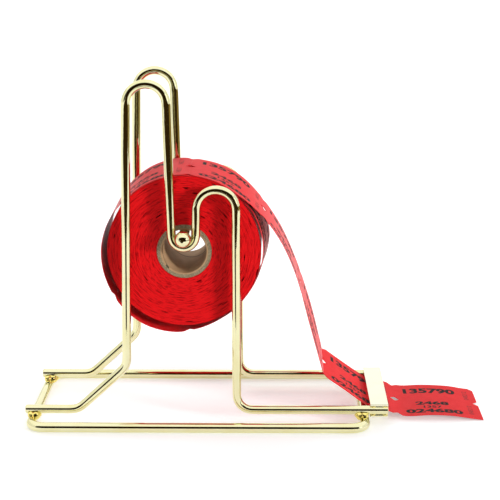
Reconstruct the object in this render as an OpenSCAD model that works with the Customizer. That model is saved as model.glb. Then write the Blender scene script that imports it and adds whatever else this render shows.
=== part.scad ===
// Counter stand for a roll of paper tickets: two bent wire side frames on a
// closed base loop, a lift-out axle in open saddles, and a plated exit slot.
// +X is the way the tickets leave, +Z is up, and the origin is the centre of
// the base loop on the surface that the stand rests on.

/* [Base loop] */
// Outside length of the closed base loop
base_l = 199.4; // [180:0.2:240]
// Distance between the centre lines of the loop's two long rails
base_rail_gap = 91; // [86:0.5:130]
// Diameter of the base wire
base_d = 5.8; // [4.8:0.1:7]
// Bend radius of the loop's corners, at the wire's centre line
base_bend_r = 8; // [6:0.5:20]

/* [Side frames] */
// Diameter of the side frame wire
wire_d = 5.2; // [4:0.1:5.6]
// Distance between the centre lines of the two side frames
frame_gap = 62; // [60:0.5:72]
// How far the rear cut end of the wire lies behind the base loop's centre
rear_end = 100.8; // [99:0.2:110]
// Where the rear slope starts to rise from the foot, behind the centre
slope_foot = 70; // [62:0.5:76]
// Height of the slope's upper end above the foot wire's centre line
slope_rise = 28.6; // [20:0.1:32]
// Top of the tall hump, at the wire's centre line
hump_z = 198.3; // [180:0.1:230]
// Rear arm of the tall hump, behind the centre
rear_arm = 39.4; // [36:0.1:44]
// Middle of the axle saddle, behind the centre
saddle_mid = 7.3; // [6.8:0.1:7.6]
// Lowest point of the saddle, at the wire's centre line
saddle_z = 105.8; // [100:0.1:112]
// Distance between the saddle's two arms, at their centre lines
saddle_w = 14; // [13.4:0.1:14.4]
// Top of the small front hump, at the wire's centre line
front_hump_z = 139.1; // [130:0.1:160]
// Front arm of the wire, ahead of the centre
front_arm = 22.4; // [20:0.1:26]
// Bend radius where the wire turns along the base
foot_bend_r = 8.5; // [6:0.5:12]

/* [Exit slot] */
// Width of each guide plate along the ticket's path
plate_w = 10.6; // [8:0.1:14]
// Length of each guide plate, across the two wires
plate_l = 65; // [64:0.5:76]
// Thickness of a guide plate
plate_t = 1.4; // [1:0.1:1.6]
// Radius of the weld beads at the wire crossings
weld_r = 4.2; // [3.8:0.1:5]
// Radius of the small beads between plate and wire
bead_r = 1.8; // [1.4:0.1:2.2]

/* [Axle] */
// Diameter of the axle rod
rod_d = 6.3; // [5:0.1:7]
// Diameter of the ball on each end of the rod
ball_d = 9.6; // [9:0.1:12]
// Space between a ball and the nearest wire
ball_gap = 0.3; // [0.3:0.1:1.5]

/* [Ticket roll] */
// Width of the tickets and of the roll
ticket_w = 50.8; // [44:0.1:52]
// Thickness that the ticket paper is drawn at
paper_t = 0.3; // [0.2:0.05:0.4]
// Bore of the cardboard core
core_bore = 25.4; // [24:0.1:27]
// Wall of the cardboard core
core_wall = 3.1; // [2:0.1:4]
// Outside diameter of the tightly wound tickets
wound_d = 87; // [60:0.5:88]
// Slack of the outermost turn, as extra inside radius
slack = 2.7; // [2.7:0.1:4]
// How far the slack turn sags to the rear
sag_rear = 1.3; // [1:0.1:1.4]
// How far the slack turn sags down
sag_down = 1.8; // [1.4:0.1:1.9]

/* [Ticket strip] */
// Fold of the strip before the slot, ahead of the centre
fold_x = 73.4; // [66:0.1:78]
// Height of that fold
fold_z = 27.7; // [24:0.1:32]
// Slope of the strip where it meets the fold, in degrees
fold_pitch = 75; // [70:1:80]
// Free length of the ticket past the front plate edge, along X
tongue_l = 56.6; // [45:0.1:60]
// Height of the tongue's arch above the counter
arch_z = 3.5; // [3:0.1:4]
// Height of the tongue's tip above the counter
tip_z = 0.5; // [0.4:0.1:1]

/* [Hidden] */

wire_gold = "#EFE09A";
cut_gold = "#D8C060";
paper_red = "#E32530";
card_grey = "#8A7A66";

smooth = 64;           // segments of a round piece
touch = 0.05;          // fit between pieces that are welded or that rest
paper_gap = 0.3;       // space between loose paper and its neighbours
run_steps = 24;        // steps along the free run
lead_steps = 10;       // steps along each stretch of the lead ticket

// Heights that follow from the wires lying on each other
base_z = base_d / 2;
foot_z = base_d + touch + wire_d / 2;
side_y = frame_gap / 2;
rail_y = base_rail_gap / 2;
cross_x = base_l / 2 - base_d / 2;

// Guide plates: behind edge just clear of the loop, front edge at the wire's end
plate_x = base_l / 2 + touch;
front_end = plate_x + plate_w;
plate_top_z = foot_z + wire_d / 2 + touch;
plate_bottom_z = foot_z - wire_d / 2 - touch - plate_t;

// Saddle, axle and roll
saddle_rear = saddle_mid + saddle_w / 2;
saddle_front = saddle_mid - saddle_w / 2;
rod_z = saddle_z + wire_d / 2 + touch + rod_d / 2;
reach = ball_d / 2 + wire_d / 2;
ball_y = side_y + ball_gap
       + sqrt(max(1, reach * reach - pow(rod_z - saddle_z, 2)));
core_d = core_bore + 2 * core_wall;
roll_x = -saddle_mid;
roll_z = rod_z + rod_d / 2 + touch - core_bore / 2;

// Slack outermost turn
slack_r = wound_d / 2 + slack;
slack_x = roll_x - sag_rear;
slack_z = roll_z - sag_down;
slack_top = slack_z + slack_r + paper_t;

// Centre line of one side frame, as corners in X and Z and their bend radii.
// A corner with radius -1 is half of a full round crown or saddle.
frame_corners = [
    [-rear_end, foot_z], [-slope_foot, foot_z],
    [-rear_arm, foot_z + slope_rise],
    [-rear_arm, hump_z], [-saddle_rear, hump_z],
    [-saddle_rear, saddle_z], [-saddle_front, saddle_z],
    [-saddle_front, front_hump_z], [front_arm, front_hump_z],
    [front_arm, foot_z], [front_end, foot_z]];
frame_bends = [0, foot_bend_r, foot_bend_r, -1, -1, -1, -1, -1, -1, foot_bend_r, 0];

function unit(v) = v / norm(v);
function leg(p, i) = unit(p[i + 1] - p[i]);
function turn(p, i) = let (a = leg(p, i - 1), b = leg(p, i))
    atan2(a.x * b.y - a.y * b.x, a.x * b.x + a.y * b.y);
// Radius that makes the corners i and i + 1 one continuous round
function round_r(p, i) = norm(p[i + 1] - p[i])
    / (tan(abs(turn(p, i)) / 2) + tan(abs(turn(p, i + 1)) / 2));
function first_of_pair(b, i) = b[i] < 0 && len([for (k = [0:i - 1]) if (b[k] < 0) 1]) % 2 == 0;
function bend_r(p, b, i) = b[i] >= 0 ? b[i]
    : first_of_pair(b, i) ? round_r(p, i) : round_r(p, i - 1);
function setback(p, b, i) = i == 0 || i == len(p) - 1 ? 0
    : bend_r(p, b, i) * tan(abs(turn(p, i)) / 2);

// A straight piece of wire from a to b, in the XZ drawing plane
module straight(a, b, d) {
    run = b - a;
    translate([a.x, a.y, 0])
        rotate([0, 0, atan2(run.y, run.x)])
            rotate([0, 90, 0])
                cylinder(d = d, h = norm(run), $fn = smooth);
}

// Angle turned at corner i, with the corner after it when both make one round
function swing(p, b, i) = abs(turn(p, i)) + (b[i] < 0 ? abs(turn(p, i + 1)) : 0);

// One bend of the wire, or one full round, that starts at corner i
module elbow(p, b, i, d) {
    r = bend_r(p, b, i);
    side = sign(turn(p, i));
    start = p[i] - leg(p, i - 1) * setback(p, b, i);
    along = leg(p, i - 1);
    middle = start + side * r * [-along.y, along.x];
    from = atan2(start.y - middle.y, start.x - middle.x) - (side < 0 ? swing(p, b, i) : 0);
    translate([middle.x, middle.y, 0])
        rotate([0, 0, from])
            rotate_extrude(angle = swing(p, b, i), $fn = smooth)
                translate([r, 0]) circle(d = d, $fn = smooth);
}

// A wire bent in one plane, drawn upright in XZ
module bent_wire(p, b, d) {
    rotate([90, 0, 0]) {
        for (i = [0:len(p) - 2]) {
            from = p[i] + leg(p, i) * setback(p, b, i);
            to = p[i + 1] - leg(p, i) * setback(p, b, i + 1);
            if ((to - from) * leg(p, i) > 0.01) straight(from, to, d);
        }
        for (i = [1:len(p) - 2])
            if (b[i] > 0 || first_of_pair(b, i)) elbow(p, b, i, d);
    }
}

// Weld metal in the corners where both side frames cross one cross rail
module crossing_welds(x) {
    for (side = [-1, 1])
        difference() {
            translate([min(x, plate_x - weld_r), side * side_y, base_d + touch / 2])
                sphere(r = weld_r, $fn = smooth);
            translate([x - 2 * weld_r, side * side_y, foot_z])
                rotate([0, 90, 0]) cylinder(d = wire_d, h = 4 * weld_r, $fn = smooth);
            translate([x, side * side_y, base_z])
                rotate([90, 0, 0])
                    cylinder(d = base_d, h = 4 * weld_r, center = true, $fn = smooth);
            translate([x - weld_r, side * side_y - weld_r, -weld_r])
                cube([2 * weld_r, 2 * weld_r, weld_r + base_z]);
        }
}

module base_loop() {
    long_half = cross_x - base_bend_r;
    wide_half = rail_y - base_bend_r;
    color(wire_gold) translate([0, 0, base_z]) {
        for (side = [-1, 1]) {
            translate([-long_half, side * rail_y, 0])
                rotate([0, 90, 0]) cylinder(d = base_d, h = 2 * long_half, $fn = smooth);
            translate([side * cross_x, wide_half, 0])
                rotate([90, 0, 0]) cylinder(d = base_d, h = 2 * wide_half, $fn = smooth);
        }
        for (quarter = [0:3])
            translate([(quarter == 0 || quarter == 3 ? 1 : -1) * long_half,
                       (quarter < 2 ? 1 : -1) * wide_half, 0])
                rotate([0, 0, 90 * quarter])
                    rotate_extrude(angle = 90, $fn = smooth)
                        translate([base_bend_r, 0]) circle(d = base_d, $fn = smooth);
    }
}

module side_frame(side) {
    color(wire_gold) translate([0, side * side_y, 0])
        bent_wire(frame_corners, frame_bends, wire_d);
}
module side_frame_right() side_frame(-1);
module side_frame_left() side_frame(1);

module rear_welds() color(cut_gold) crossing_welds(-cross_x);
module front_welds() color(cut_gold) crossing_welds(cross_x);

module guide_plate(z) {
    color(wire_gold) translate([plate_x, -plate_l / 2, z]) cube([plate_w, plate_l, plate_t]);
}
module guide_plate_top() guide_plate(plate_top_z);
module guide_plate_bottom() guide_plate(plate_bottom_z);

// Small beads that hold a plate to both wires; contact_z is the touching height
module plate_welds(contact_z, outward) {
    color(cut_gold)
        for (side = [-1, 1], x = [plate_x + bead_r, front_end - bead_r])
            difference() {
                translate([x, side * side_y, contact_z]) sphere(r = bead_r, $fn = smooth);
                translate([x - 2 * bead_r, side * side_y, foot_z])
                    rotate([0, 90, 0]) cylinder(d = wire_d, h = 4 * bead_r, $fn = smooth);
                translate([x - bead_r, side * side_y - bead_r,
                           outward > 0 ? contact_z + touch / 2 : contact_z - touch / 2 - bead_r])
                    cube([2 * bead_r, 2 * bead_r, bead_r]);
            }
}
module top_plate_welds() plate_welds(plate_top_z - touch / 2, 1);
module bottom_plate_welds() plate_welds(plate_bottom_z + plate_t + touch / 2, -1);

module axle_rod() {
    color(wire_gold) translate([roll_x, 0, rod_z])
        rotate([90, 0, 0]) cylinder(d = rod_d, h = 2 * ball_y, center = true, $fn = smooth);
}

// A ball with a blind hole that the rod's end fills
module axle_ball(side) {
    color(wire_gold) translate([roll_x, side * ball_y, rod_z])
        rotate([side * 90, 0, 0])
            rotate_extrude($fn = smooth)
                difference() {
                    circle(d = ball_d, $fn = smooth);
                    translate([-ball_d, -ball_d]) square([ball_d, 2 * ball_d]);
                    square([rod_d / 2, ball_d]);
                }
}
module axle_ball_right() axle_ball(-1);
module axle_ball_left() axle_ball(1);

// A ring about the axle's direction
module ring(x, z, outer_d, inner_d) {
    translate([x, 0, z])
        rotate([90, 0, 0])
            difference() {
                cylinder(d = outer_d, h = ticket_w, center = true, $fn = 2 * smooth);
                cylinder(d = inner_d, h = 2 * ticket_w, center = true, $fn = 2 * smooth);
            }
}
module roll_core() color(card_grey) ring(roll_x, roll_z, core_d, core_bore);
module wound_tickets() color(paper_red) ring(roll_x, roll_z, wound_d, core_d);
module loose_turn() {
    color(paper_red) ring(slack_x, slack_z, 2 * (slack_r + paper_t), 2 * slack_r);
}

// Points of a cubic curve, and a paper ribbon along a path in XZ
function cubic(c, t) = pow(1 - t, 3) * c[0] + 3 * pow(1 - t, 2) * t * c[1]
    + 3 * (1 - t) * t * t * c[2] + pow(t, 3) * c[3];
function sweep(c, n) = [for (i = [0:n]) cubic(c, i / n)];
function across(p, i) = let (a = unit(p[min(i + 1, len(p) - 1)] - p[max(i - 1, 0)])) [-a.y, a.x];

module ribbon(p) {
    color(paper_red) rotate([90, 0, 0])
        linear_extrude(height = ticket_w, center = true)
            polygon(concat(
                [for (i = [0:len(p) - 1]) p[i] + across(p, i) * paper_t / 2],
                [for (i = [len(p) - 1:-1:0]) p[i] - across(p, i) * paper_t / 2]));
}

// Free run: level off the top of the roll, then down to the fold
run_start = [slack_x + 3, slack_top + paper_gap + paper_t / 2];
fold = [fold_x, fold_z];
fold_way = [cos(fold_pitch), -sin(fold_pitch)];
run_drop = norm(fold - run_start);
run_curve = [run_start, run_start + [0.29 * run_drop, 0], fold - fold_way * 0.54 * run_drop,
             fold - fold_way * paper_t];

// Lead ticket: from the fold into the slot, over the lower plate and out
sill_z = plate_bottom_z + plate_t + paper_gap / 2 + paper_t / 2;
slot_in = [plate_x, (sill_z + plate_top_z) / 2 + paper_t];
slot_way = unit(slot_in - fold);
slot_out = [front_end - 2, sill_z + paper_gap / 2];
tip_x = front_end + tongue_l;
dip = [front_end + tongue_l * 0.18, arch_z - paper_t];
arch = [front_end + tongue_l * 0.45, arch_z];
slot_curve = [slot_in, slot_in + slot_way * plate_w / 3, slot_out - [plate_w / 3, 0], slot_out];
lip_curve = [slot_out, slot_out + [plate_w / 3, 0], dip - [plate_w / 3, 0], dip];
arch_curve = [dip, dip + [plate_w / 3, 0], arch - [plate_w / 3, 0], arch];
tip_curve = [arch, arch + [plate_w, 0],
             [tip_x, tip_z] - plate_w * unit([3, -1]), [tip_x, tip_z]];

module ticket_run() ribbon(sweep(run_curve, run_steps));
module lead_ticket() {
    ribbon(concat([fold + slot_way * paper_t], sweep(slot_curve, lead_steps),
        [for (c = [lip_curve, arch_curve, tip_curve], i = [1:lead_steps]) cubic(c, i / lead_steps)]));
}

base_loop();
side_frame_right();
side_frame_left();
rear_welds();
front_welds();
guide_plate_top();
guide_plate_bottom();
top_plate_welds();
bottom_plate_welds();
axle_rod();
axle_ball_right();
axle_ball_left();
roll_core();
wound_tickets();
loose_turn();
ticket_run();
lead_ticket();
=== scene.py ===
"""Counter stand for a roll of paper tickets: its finishes, its light and its camera.

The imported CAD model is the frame. The polished wires, the plates and the paper are built here
as finer meshes, and each one stays where the solid that it stands for is. Lengths are in
millimetres in the classes below, and in metres once they are in a mesh.
"""

import logging
import math
import random
from dataclasses import dataclass
from enum import Enum
from typing import Callable, Sequence

import bmesh
import bpy
import numpy as np
from bpy.types import Material, Node, NodeSocket, NodeTree, Object
from mathutils import Matrix, Vector, geometry, noise


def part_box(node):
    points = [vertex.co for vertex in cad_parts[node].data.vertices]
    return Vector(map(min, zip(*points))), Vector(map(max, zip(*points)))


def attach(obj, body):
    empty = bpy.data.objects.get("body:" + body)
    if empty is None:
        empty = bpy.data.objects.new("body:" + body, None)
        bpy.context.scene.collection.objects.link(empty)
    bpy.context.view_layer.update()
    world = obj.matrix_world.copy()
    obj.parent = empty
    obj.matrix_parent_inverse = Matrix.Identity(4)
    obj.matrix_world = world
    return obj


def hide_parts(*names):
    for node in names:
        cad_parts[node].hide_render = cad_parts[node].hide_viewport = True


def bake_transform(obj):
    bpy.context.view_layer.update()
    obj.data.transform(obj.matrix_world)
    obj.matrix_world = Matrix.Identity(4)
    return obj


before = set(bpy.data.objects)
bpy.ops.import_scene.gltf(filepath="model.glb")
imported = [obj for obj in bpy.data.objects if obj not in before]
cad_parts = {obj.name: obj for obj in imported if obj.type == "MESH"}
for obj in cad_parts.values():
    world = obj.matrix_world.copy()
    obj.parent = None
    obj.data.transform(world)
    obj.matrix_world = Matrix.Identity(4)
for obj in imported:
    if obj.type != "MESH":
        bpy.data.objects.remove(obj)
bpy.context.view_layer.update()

MM = 0.001
Pair = tuple[float, float]  # a place in a plane, a span, or two sizes
ROLL_AXIS: Pair = (-7.3, 102.1)  # X and Z
log = logging.getLogger("ticket_stand")


# --------------------------------------------------------------------------- helpers


def linear(colour: str) -> tuple[float, float, float, float]:
    """Turns an sRGB hex colour into linear RGBA.

    Args:
        colour: The colour as "#RRGGBB".

    Returns:
        Linear red, green, blue and an alpha of one.
    """
    parts = [int(colour[i : i + 2], 16) / 255 for i in (1, 3, 5)]
    red, green, blue = [
        c / 12.92 if c <= 0.04045 else ((c + 0.055) / 1.055) ** 2.4 for c in parts
    ]
    return red, green, blue, 1.0


def per_metre(size_mm: float) -> float:
    """Gives the texture scale at which one feature is size_mm wide."""
    return 1.0 / (size_mm * MM)


def add_node(
    tree: NodeTree, kind: str, inputs: dict | None = None, **settings: object
) -> Node:
    """Adds one shader node, sets its properties, and fills or links its inputs.

    Args:
        tree: The material's or world's node tree.
        kind: The node's type name after "ShaderNode".
        inputs: Socket name or number to a value, or to the output or the node that feeds it.
            A node feeds with its first open output.
        settings: The node's own properties.

    Returns:
        The new node.
    """
    node = tree.nodes.new("ShaderNode" + kind)
    for name, value in settings.items():
        setattr(node, name, value)
    for key, value in (inputs or {}).items():
        if isinstance(key, str):
            socket = next(s for s in node.inputs if s.enabled and s.name == key)
        else:
            socket = node.inputs[key]
        if isinstance(value, Node):
            value = next(s for s in value.outputs if s.enabled)
        if isinstance(value, NodeSocket):
            tree.links.new(value, socket)
        else:
            socket.default_value = value
    return node


def new_material(name: str) -> tuple[Material, NodeTree]:
    """Starts an empty material.

    Args:
        name: The material's name.

    Returns:
        The material and its node tree.
    """
    material = bpy.data.materials.new(name)
    material.use_nodes = True
    material.node_tree.nodes.clear()
    return material, material.node_tree


def finished(material: Material, inputs: dict) -> Material:
    """Ends a material with its Principled shader.

    Args:
        material: The material.
        inputs: The shader's inputs, as for add_node.

    Returns:
        The same material.
    """
    shader = add_node(material.node_tree, "BsdfPrincipled", inputs)
    add_node(material.node_tree, "OutputMaterial", {"Surface": shader})
    return material


def mesh_object(
    name: str,
    points: np.ndarray,
    faces: Sequence[Sequence[int]],
    materials: Sequence[Material],
    smooth: bool = True,
) -> Object:
    """Makes a mesh object from points in millimetres.

    Args:
        name: The object's name.
        points: An array of N by 3 places.
        faces: The corners of each face.
        materials: The materials, in the order of their slots.
        smooth: Whether the faces are shaded smooth.

    Returns:
        The linked object.
    """
    mesh = bpy.data.meshes.new(name)
    mesh.from_pydata((np.asarray(points, float) * MM).tolist(), [], [list(f) for f in faces])
    mesh.validate()
    for material in materials:
        mesh.materials.append(material)
    if smooth:
        mesh.shade_smooth()
    else:
        mesh.shade_flat()
    made = bpy.data.objects.new(name, mesh)
    bpy.context.scene.collection.objects.link(made)
    return made


def band(a: int, b: int, corners: int) -> list[tuple[int, int, int, int]]:
    """Joins two closed rings of points with faces.

    Args:
        a: The number of the first point of one ring.
        b: The number of the first point of the other.
        corners: How many points each ring has.

    Returns:
        The corners of each face.
    """
    return [
        (a + k, a + (k + 1) % corners, b + (k + 1) % corners, b + k) for k in range(corners)
    ]


def worked_object(name: str, work: bmesh.types.BMesh, material: Material) -> Object:
    """Makes a smooth object from a working mesh in metres, and frees the working mesh.

    Args:
        name: The object's name.
        work: The working mesh.
        material: The finish.

    Returns:
        The linked object.
    """
    made = mesh_object(name, np.empty((0, 3)), [], [material])
    work.to_mesh(made.data)
    work.free()
    made.data.shade_smooth()
    return made


def sharpen(made: Object, degrees: float, outward: bool = False) -> None:
    """Marks the edges that bend more than the given angle as sharp.

    Args:
        made: The mesh object.
        degrees: The smallest angle between two faces that stays crisp.
        outward: Whether every face is first turned to look outward.
    """
    work = bmesh.new()
    work.from_mesh(made.data)
    if outward:
        bmesh.ops.recalc_face_normals(work, faces=work.faces)
    limit = math.radians(degrees)
    for edge in work.edges:
        if len(edge.link_faces) == 2 and edge.calc_face_angle(0.0) > limit:
            edge.smooth = False
    work.to_mesh(made.data)
    work.free()


def apply_modifiers(made: Object) -> None:
    """Puts a piece's modifiers into its mesh.

    Args:
        made: The piece, which keeps its name and place.
    """
    depsgraph = bpy.context.evaluated_depsgraph_get()
    final = bpy.data.meshes.new_from_object(made.evaluated_get(depsgraph))
    made.modifiers.clear()
    made.data = final


def hand_over(made: Object, body: str, slot: str, *nodes: str) -> None:
    """Puts a finished piece on its body in place of the CAD nodes that it stands for.

    Args:
        made: The piece.
        body: The CAD body that it rides on.
        slot: The name of its finish's material slot; it is not used.
        nodes: The CAD nodes that it replaces.
    """
    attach(made, body)
    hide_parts(*nodes)
    log.info("%s: %d faces on %s", made.name, len(made.data.polygons), body)


# --------------------------------------------------------------------------- finishes


@dataclass(frozen=True)
class BrightBrassPlate:
    """Steel wire and sheet, polished and brass plated bright under clear lacquer.

    It gives a pale cream mirror where it sees white and a deep gold where it sees shade, with
    edges of the reflections that waver a little, because drawn wire is never quite true.
    """

    name: str = "brass_plated_steel"
    colour: str = "#E7E3B8"
    deep_colour: str = "#DFD595"
    deep_span: Pair = (0.42, 0.78)
    deep_part: float = 0.55
    roughness: float = 0.05
    haze: float = 0.05
    haze_span: Pair = (0.3, 0.8)
    cloud_mm: float = 16.0
    draw_mark_mm: float = 3.0
    draw_mark_depth_mm: float = 0.012

    def material(self) -> Material:
        """Builds the material.

        Returns:
            The brass plate material.
        """
        material, tree = new_material(self.name)
        place = add_node(tree, "TexCoord").outputs["Object"]
        cloud = add_node(
            tree, "TexNoise", {"Vector": place, "Scale": per_metre(self.cloud_mm), "Detail": 3.0}
        )
        tone = add_node(
            tree, "MapRange",
            {"Value": cloud, "From Min": self.deep_span[0], "From Max": self.deep_span[1],
             "To Max": self.deep_part},
        )
        colour = add_node(
            tree, "Mix",
            {"Factor": tone, "A": linear(self.colour), "B": linear(self.deep_colour)},
            data_type="RGBA",
        )
        rough = add_node(
            tree, "MapRange",
            {"Value": cloud, "From Min": self.haze_span[0], "From Max": self.haze_span[1],
             "To Min": self.roughness, "To Max": self.roughness + self.haze},
        )
        marks = add_node(
            tree, "TexNoise",
            {"Vector": place, "Scale": per_metre(self.draw_mark_mm), "Detail": 2.0},
        )
        bump = add_node(
            tree, "Bump",
            {"Height": marks, "Distance": self.draw_mark_depth_mm * MM, "Strength": 1.0},
        )
        return finished(
            material,
            {"Base Color": colour, "Roughness": rough, "Normal": bump, "Metallic": 1.0},
        )


@dataclass(frozen=True)
class TicketPaper:
    """Uncoated offset paper, dyed red in the pulp and calendered.

    It gives a flat strong red with a faint fibre mottle, and it pales where the eye or the
    light skims it.
    """

    name: str = "red_ticket_paper"
    colour: str = "#DC191E"
    light_colour: str = "#E52529"
    light_span: Pair = (0.75, 1.3)
    roughness: float = 0.62
    gloss: float = 0.08
    bloom: float = 0.78
    bloom_spread: float = 0.14
    mottle_mm: float = 5.0
    fibre_mm: float = 0.5
    fibre_depth_mm: float = 0.03

    def material(self) -> Material:
        """Builds the material.

        Returns:
            The red paper material.
        """
        material, tree = new_material(self.name)
        place = add_node(tree, "TexCoord").outputs["Object"]
        mottle = add_node(
            tree, "TexNoise",
            {"Vector": place, "Scale": per_metre(self.mottle_mm), "Detail": 4.0,
             "Roughness": 0.6},
        )
        fibre = add_node(
            tree, "TexNoise", {"Vector": place, "Scale": per_metre(self.fibre_mm), "Detail": 2.0}
        )
        both = add_node(tree, "Math", {0: mottle, 1: fibre}, operation="ADD")
        tone = add_node(
            tree, "MapRange",
            {"Value": both, "From Min": self.light_span[0], "From Max": self.light_span[1]},
        )
        colour = add_node(
            tree, "Mix",
            {"Factor": tone, "A": linear(self.colour), "B": linear(self.light_colour)},
            data_type="RGBA",
        )
        bump = add_node(
            tree, "Bump",
            {"Height": fibre, "Distance": self.fibre_depth_mm * MM, "Strength": 0.5},
        )
        return finished(
            material,
            {"Base Color": colour, "Normal": bump, "Roughness": self.roughness,
             "Specular IOR Level": self.gloss, "Sheen Weight": self.bloom,
             "Sheen Roughness": self.bloom_spread},
        )


def from_roll_axis(tree: NodeTree, place: NodeSocket) -> tuple[Node, Node, Node]:
    """Measures a place from the middle of the roll's axis.

    Args:
        tree: The node tree to add to.
        place: The output with the place.

    Returns:
        Nodes that give the offset, the part of it square to the axis, and that part's length.
    """
    middle = (ROLL_AXIS[0] * MM, 0.0, ROLL_AXIS[1] * MM)
    offset = add_node(tree, "VectorMath", {0: place, 1: middle}, operation="SUBTRACT")
    outward = add_node(
        tree, "VectorMath", {0: offset, 1: (1.0, 0.0, 1.0)}, operation="MULTIPLY"
    )
    return offset, outward, add_node(tree, "VectorMath", {0: outward}, operation="LENGTH")


@dataclass(frozen=True)
class SlitPaperEdge:
    """The end of the wound roll: a stack of slit paper edges, all dyed red.

    It gives fine rings about the axle that come and go, duller and deeper than the paper's
    face, with painted shade in the open punched edges. Real layers are 0.2 mm apart, and they
    are drawn 0.6 mm apart so that they show.
    """

    name: str = "slit_paper_edge"
    colour: str = "#E6161B"
    shade_colour: str = "#A9090F"
    shade_span: Pair = (0.37, 0.5)
    # painted shade: the colour that the open punched edges are darkened to
    gap_painted_shade_colour: str = "#33080A"
    roughness: float = 0.8
    gloss: float = 0.08
    ring_mm: float = 0.62
    ring_depth_mm: float = 0.12
    streak_mm: float = 7.0
    streak_r: float = 36.0

    def material(self) -> Material:
        """Builds the material.

        Returns:
            The edge material, which reads from the mesh how much painted shade darkens each
            point.
        """
        material, tree = new_material(self.name)
        place = add_node(tree, "TexCoord").outputs["Object"]
        _, outward, radius = from_roll_axis(tree, place)
        way = add_node(tree, "VectorMath", {0: outward}, operation="NORMALIZE")
        along = add_node(
            tree, "VectorMath", {0: way, "Scale": self.streak_r / self.streak_mm},
            operation="SCALE",
        )
        layer = add_node(
            tree, "Math", {0: radius, 1: per_metre(self.ring_mm)}, operation="MULTIPLY"
        )
        streaks = add_node(
            tree, "TexNoise",
            {"Vector": along, "W": layer, "Scale": 1.0, "Detail": 3.0, "Roughness": 0.65},
            noise_dimensions="4D",
        )
        tone = add_node(
            tree, "MapRange",
            {"Value": streaks, "From Min": self.shade_span[0], "From Max": self.shade_span[1]},
        )
        red = add_node(
            tree, "Mix",
            {"Factor": tone, "A": linear(self.shade_colour), "B": linear(self.colour)},
            data_type="RGBA",
        )
        # Painted shade: the open punched edges take a dark colour on top of the shade that the
        # light leaves in them.
        painted_gap_shade = add_node(tree, "Attribute", attribute_name="painted_gap_shade").outputs["Fac"]
        colour = add_node(
            tree, "Mix", {"Factor": painted_gap_shade, "A": red, "B": linear(self.gap_painted_shade_colour)},
            data_type="RGBA",
        )
        bump = add_node(
            tree, "Bump",
            {"Height": streaks, "Distance": self.ring_depth_mm * MM, "Strength": 0.6},
        )
        return finished(
            material,
            {"Base Color": colour, "Normal": bump, "Roughness": self.roughness,
             "Specular IOR Level": self.gloss},
        )


@dataclass(frozen=True)
class PrintingInk:
    """Black offset ink, rolled on and dried into the paper.

    It gives a flat near-black, as matt as the paper under it.
    """

    name: str = "printing_ink"
    colour: str = "#1C1716"
    light_colour: str = "#2C2422"
    roughness: float = 0.7
    gloss: float = 0.1
    grain_mm: float = 0.7

    def material(self) -> Material:
        """Builds the material.

        Returns:
            The ink material.
        """
        material, tree = new_material(self.name)
        place = add_node(tree, "TexCoord").outputs["Object"]
        grain = add_node(
            tree, "TexNoise", {"Vector": place, "Scale": per_metre(self.grain_mm), "Detail": 2.0}
        )
        colour = add_node(
            tree, "Mix",
            {"Factor": grain, "A": linear(self.colour), "B": linear(self.light_colour)},
            data_type="RGBA",
        )
        return finished(
            material,
            {"Base Color": colour, "Roughness": self.roughness,
             "Specular IOR Level": self.gloss},
        )


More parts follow.
